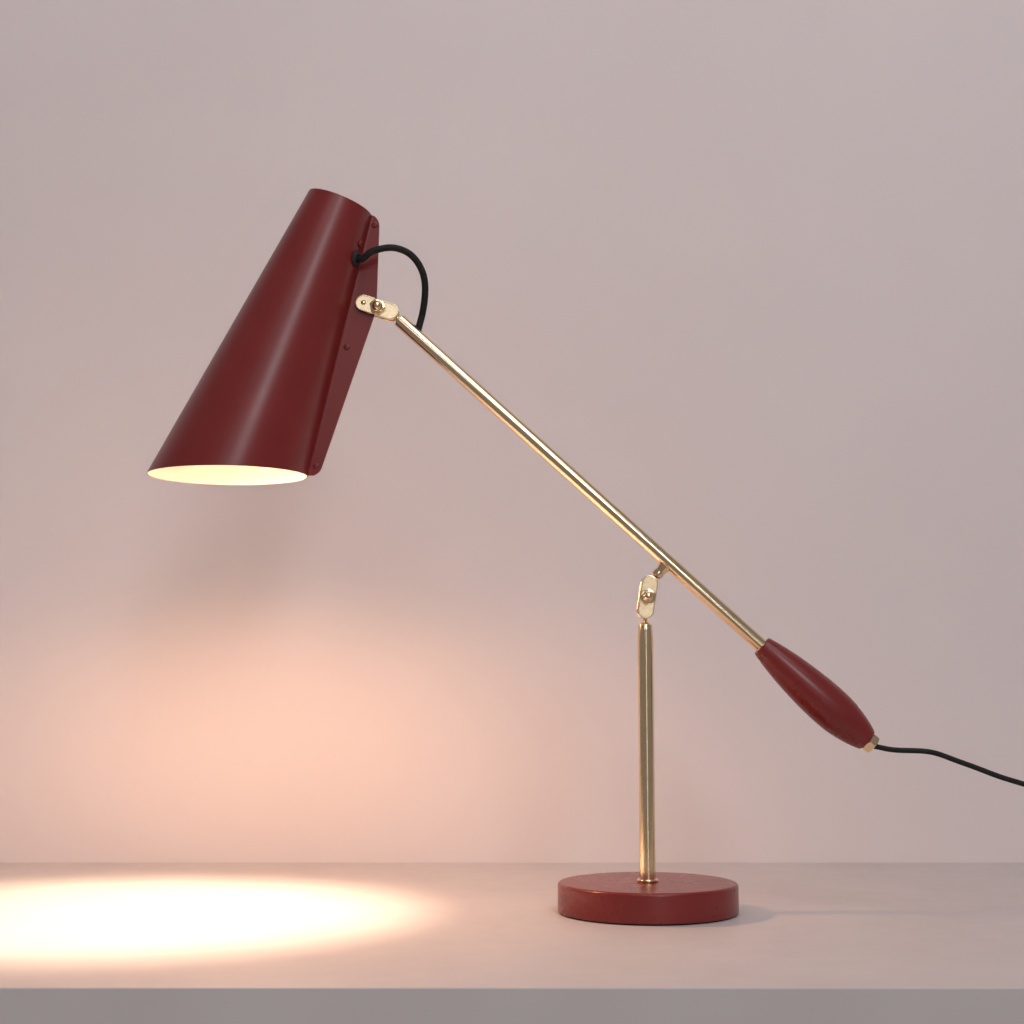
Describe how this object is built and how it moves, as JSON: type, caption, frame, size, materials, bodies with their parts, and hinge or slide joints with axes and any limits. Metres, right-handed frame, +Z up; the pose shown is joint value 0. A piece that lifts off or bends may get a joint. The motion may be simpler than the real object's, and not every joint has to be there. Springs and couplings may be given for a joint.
{
  "type": "architect desk lamp",
  "caption": "Balanced desk lamp: a conical shade on a long counterweighted arm, clamped ball knuckles, an upright column on a round weighted foot, and a supply cord with a switch and a plug.",
  "frame": {"origin": "centre of the base's underside, on the surface the lamp stands on", "axes": "+Z up, along the column; +X from the shade towards the counterweight; -Y the side the knuckles' domed nuts face"},
  "size_m": [0.9869, 0.1607, 0.6586],
  "materials": {
    "red_shade": "smooth satin dark red stoving paint outside, white inside, on thin aluminium sheet",
    "red_weight": "satin dark red stoving paint on turned steel",
    "brass": "polished, with a light haze of handling",
    "bronze": "turned, unpolished",
    "steel": "zinc plated",
    "nickel": "nickel plated",
    "black_rubber": "matt black",
    "cord": "matt black sheath",
    "bakelite": "half-gloss black moulding",
    "nylon": "natural nylon",
    "opal_glass": "opal white glass"
  },
  "bodies": {
    "base": {"base_pad": "black_rubber", "base_weight": "red_weight", "foot_washer": "steel", "foot_nut": "steel", "foot_stud": "steel", "foot_collar": "brass", "column_tube": "brass", "column_foot_insert": "steel", "column_swivel_bush": "bronze", "mains_cord": "cord", "switch_base": "bakelite", "switch_cover": "bakelite", "mains_cord_to_coil": "cord", "mains_cord_coil": "cord", "mains_cord_to_plug": "cord", "plug_strain_relief": "black_rubber", "plug_body": "bakelite", "plug_pin_left": "nickel", "plug_pin_right": "nickel"},
    "column_stud": {"column_ball_stud": "brass", "column_stud_nut": "steel"},
    "link": {"link_plate_front": "brass", "link_plate_rear": "brass", "link_clamp_bolt": "brass", "link_acorn_nut": "brass"},
    "arm_stud": {"arm_ball_stud": "brass", "arm_stud_nut": "steel"},
    "arm": {"arm_saddle": "brass", "arm_tube": "brass", "arm_end_bush": "bronze", "arm_cord_bush": "black_rubber", "counterweight": "red_weight", "gland_nut": "brass", "gland_seal": "black_rubber", "arm_inner_cord": "cord", "head_cord": "cord"},
    "head_stud": {"arm_end_ball_stud": "brass", "arm_end_stud_nut": "steel"},
    "head": {"shade_shell": "red_shade", "fin_rivet_top": "red_shade", "fin_rivet_middle": "red_shade", "fin_rivet_bottom": "red_shade", "shade_grommet": "black_rubber", "bracket_screw": "red_shade", "holder_bracket": "steel", "holder_nipple": "steel", "holder_nipple_nut": "steel", "lampholder_cap": "bakelite", "lampholder_body": "bakelite", "bulb_cap": "nickel", "bulb_glass": "opal_glass", "holder_lead": "cord", "head_plate_front": "brass", "head_plate_rear": "brass", "head_clamp_bolt": "brass", "head_acorn_nut": "brass", "fin_pin": "brass", "fin_washer_front": "nylon", "fin_washer_rear": "nylon"},
    "rocker": {"switch_rocker": "bakelite"}
  },
  "joints": [
    {"name": "column_swivel", "type": "hinge", "parent": "base", "child": "column_stud", "pos_m": [0, 0, 0.268], "axis": [0, 0, 1], "range_deg": [-90, 90]},
    {"name": "link_tilt", "type": "hinge", "parent": "column_stud", "child": "link", "pos_m": [0, 0, 0.268], "axis": [0, 1, 0], "range_deg": [-15, 15], "deforming": ["mains_cord"]},
    {"name": "arm_tilt", "type": "hinge", "parent": "link", "child": "arm_stud", "pos_m": [0.00389, 0, 0.29229], "axis": [0, 1, 0], "range_deg": [-38, 20], "deforming": ["mains_cord"]},
    {"name": "arm_turn", "type": "hinge", "parent": "arm_stud", "child": "arm", "pos_m": [0.00389, 0, 0.29229], "axis": [0.673, 0, 0.7396], "range_deg": [-40, 40]},
    {"name": "head_roll", "type": "hinge", "parent": "arm", "child": "head_stud", "pos_m": [-0.23301, 0, 0.54382], "axis": [0.7396, 0, -0.673], "range_deg": [-60, 60], "deforming": ["head_cord"]},
    {"name": "head_tilt", "type": "hinge", "parent": "head_stud", "child": "head", "pos_m": [-0.23301, 0, 0.54382], "axis": [0, 1, 0], "range_deg": [-40, 50], "deforming": ["head_cord"]},
    {"name": "switch_rock", "type": "hinge", "parent": "base", "child": "rocker", "pos_m": [0.52, 0.012, 0.0148], "axis": [1, 0, 0], "range_deg": [-16, 0]}
  ]
}
